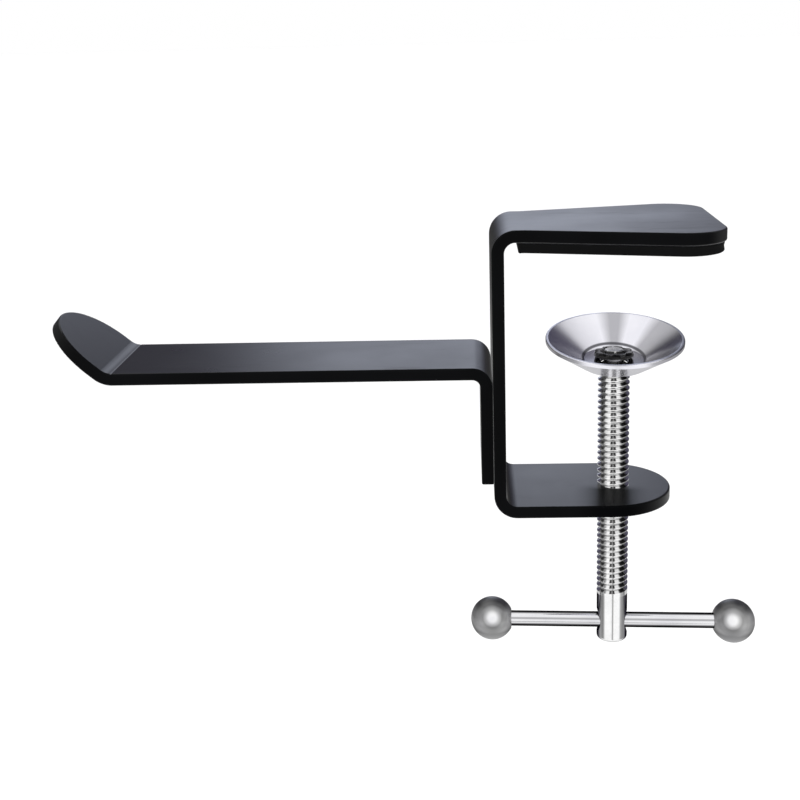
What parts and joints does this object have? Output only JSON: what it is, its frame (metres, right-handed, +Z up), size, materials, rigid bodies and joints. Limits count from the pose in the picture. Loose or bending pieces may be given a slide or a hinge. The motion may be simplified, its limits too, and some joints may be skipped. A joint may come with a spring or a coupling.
{
  "type": "desk clamp headphone hook",
  "caption": "Desk-edge clamp of bent steel strip with a screw, swivel cup and sliding tommy bar, carrying a flat hook arm with an upturned round tip for headphones.",
  "frame": {"origin": "where the clamp screw's axis meets the underside of the jaw pad, which rests on the desk's top", "axes": "+Z up along the screw's axis, -X out along the hook arm, +X the way the jaws open"},
  "size_m": [0.1772, 0.0494, 0.1117],
  "materials": {
    "black_powder_coat": "satin black powder coat on steel",
    "pad_rubber": "matt black foam rubber",
    "adhesive_film": "black double-sided adhesive film",
    "nickel_plate": "bright nickel plated steel",
    "chrome_plate": "polished chrome plated steel",
    "black_oxide": "black oxide spring steel",
    "satin_nickel": "satin nickel plated steel"
  },
  "bodies": {
    "frame": {"clamp_frame": "black_powder_coat", "pad_adhesive": "adhesive_film", "jaw_pad": "pad_rubber", "hook_arm": "black_powder_coat", "hook_rivets": "black_powder_coat"},
    "carrier": {"cup_washer": "black_oxide"},
    "screw": {"clamp_screw": "nickel_plate", "star_clip": "black_oxide"},
    "cup": {"pressure_cup": "chrome_plate"},
    "bar": {"tommy_bar": "chrome_plate", "ball_end_left": "satin_nickel", "ball_end_right": "satin_nickel"}
  },
  "joints": [
    {"name": "clamp_travel", "type": "slide", "parent": "frame", "child": "carrier", "axis": [0, 0, 1], "range_m": [-0.0304, 0.0211]},
    {"name": "screw_turn", "type": "hinge", "parent": "carrier", "child": "screw", "pos_m": [0, 0, -0.035], "axis": [0, 0, 1], "range_deg": [-7299, 5067]},
    {"name": "cup_swivel", "type": "hinge", "parent": "carrier", "child": "cup", "pos_m": [0, 0, -0.035], "axis": [-1, 0, 0], "range_deg": [0, 18]},
    {"name": "bar_slide", "type": "slide", "parent": "screw", "child": "bar", "axis": [0.999, -0.0436, 0], "range_m": [-0.0225, 0.0225]}
  ],
  "couplings": [
    {"joint": "screw_turn", "follows": "clamp_travel", "rad_per_m": 4188.8}
  ]
}
